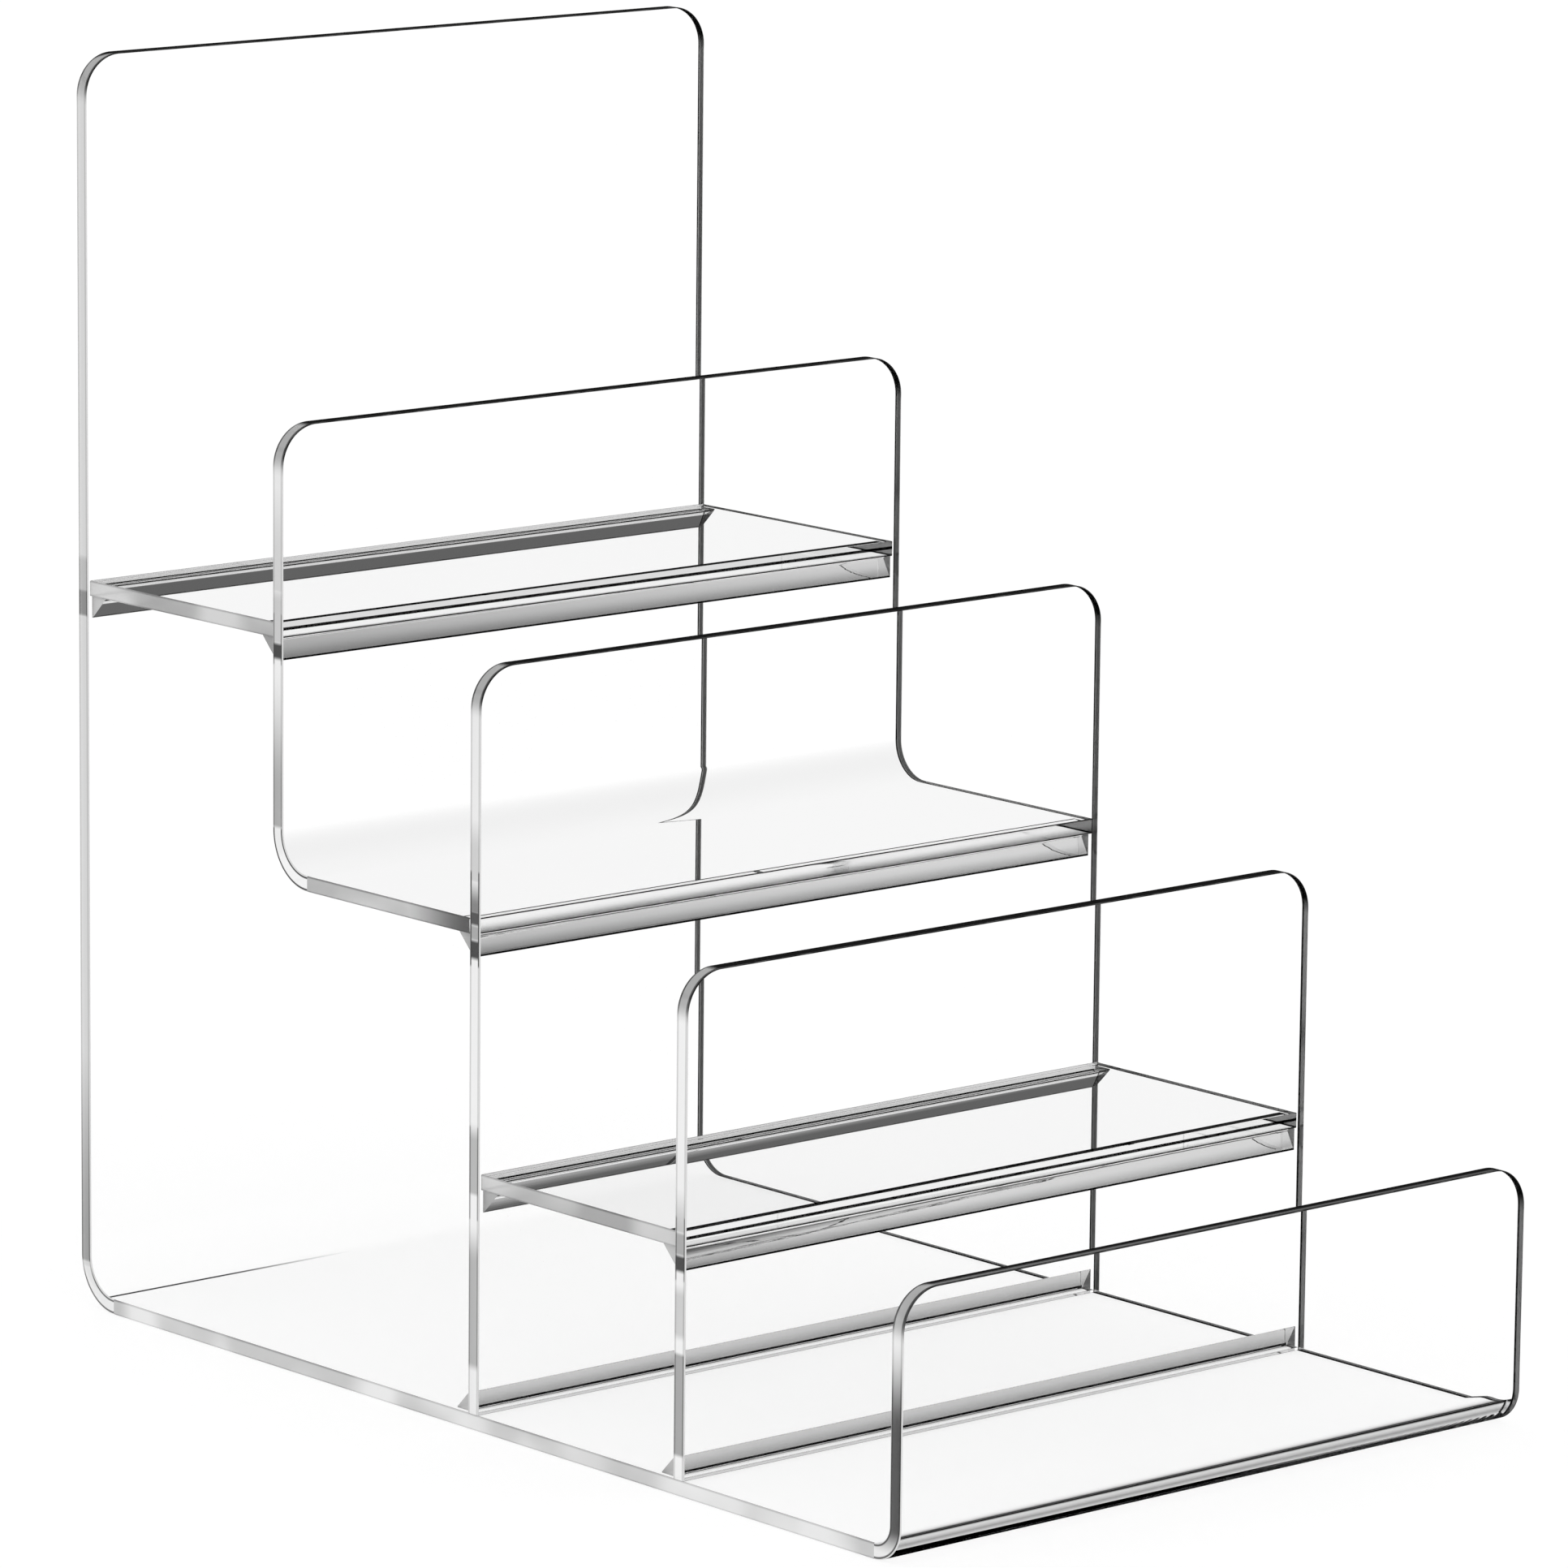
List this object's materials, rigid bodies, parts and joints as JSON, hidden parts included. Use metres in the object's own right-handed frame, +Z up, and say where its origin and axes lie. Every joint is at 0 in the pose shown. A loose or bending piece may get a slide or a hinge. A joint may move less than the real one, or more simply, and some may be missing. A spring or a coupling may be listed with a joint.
{
  "type": "display riser",
  "caption": "Clear acrylic stepped riser with tiers between upright sheets, heat-bent base, tall back and low front lip, for standing flat goods on show.",
  "frame": {"origin": "centre of the base's underside, which stands on Z = 0", "axes": "+Z up; the front lip faces -Y and the back upright is at +Y; +X is the right side seen from the front"},
  "size_m": [0.155, 0.241, 0.2455],
  "materials": {
    "clear_sheet": "polished",
    "clear_rod": "polished"
  },
  "bodies": {
    "root": {"back_base_lip": "clear_sheet", "second_upright_shelf": "clear_sheet", "third_upright": "clear_sheet", "fourth_upright": "clear_sheet", "top_shelf": "clear_sheet", "low_shelf": "clear_sheet", "top_shelf_rear_rod": "clear_rod", "top_shelf_front_rod": "clear_rod", "middle_shelf_front_rod": "clear_rod", "low_shelf_rear_rod": "clear_rod", "low_shelf_front_rod": "clear_rod", "third_upright_foot_rod": "clear_rod", "fourth_upright_foot_rod": "clear_rod"}
  },
  "joints": []
}
